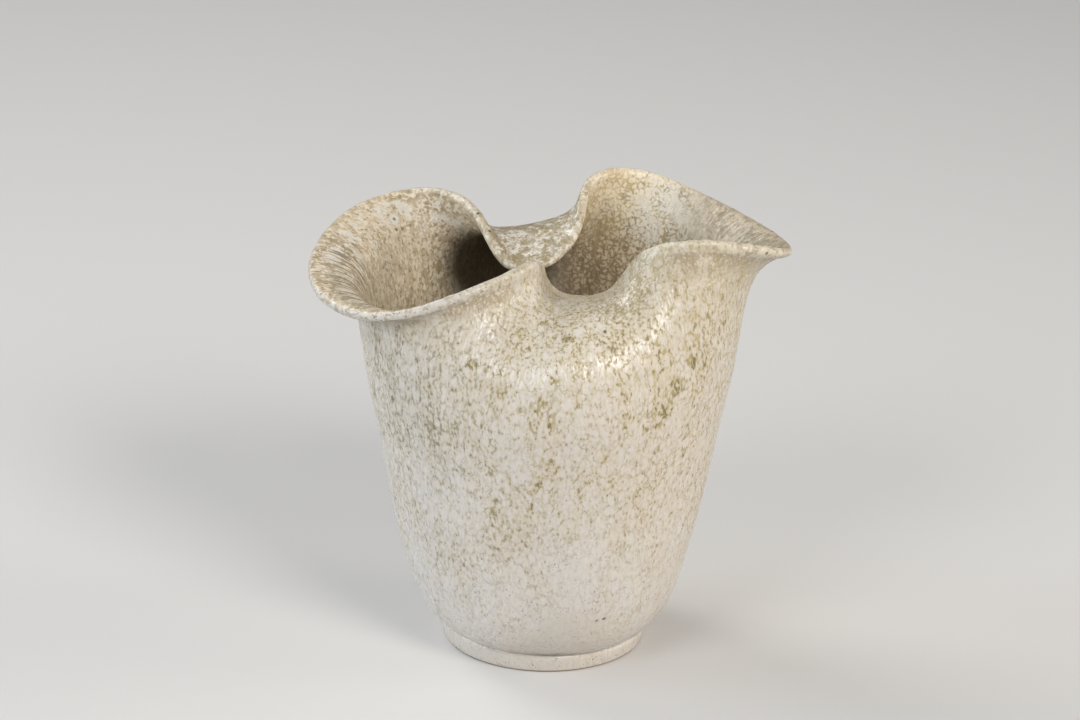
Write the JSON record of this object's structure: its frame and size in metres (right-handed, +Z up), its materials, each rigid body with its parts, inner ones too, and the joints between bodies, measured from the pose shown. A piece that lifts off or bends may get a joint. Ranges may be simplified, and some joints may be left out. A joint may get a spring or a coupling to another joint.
{
  "type": "folded-mouth vase",
  "caption": "Stoneware vase: a tapered thrown cup on a low turned foot, its flared rim pushed in at front and back into folds that leave two open spouts, under a speckled cream glaze.",
  "frame": {"origin": "centre of the foot, on the surface that the vase stands on", "axes": "+Z up along the turned axis, +X towards the narrower right spout, -Y towards the front fold"},
  "size_m": [0.1586, 0.1217, 0.1536],
  "materials": {
    "body_glaze": "satin cream glaze with a fine brown and olive speckle, beiger inside and at the folds",
    "foot_glaze": "thinner cream glaze on the turned foot, wiped bare where it stands"
  },
  "bodies": {
    "root": {"foot_ring": "foot_glaze", "floor_disc": "body_glaze", "cup_wall": "body_glaze", "folded_collar": "body_glaze"}
  },
  "joints": []
}
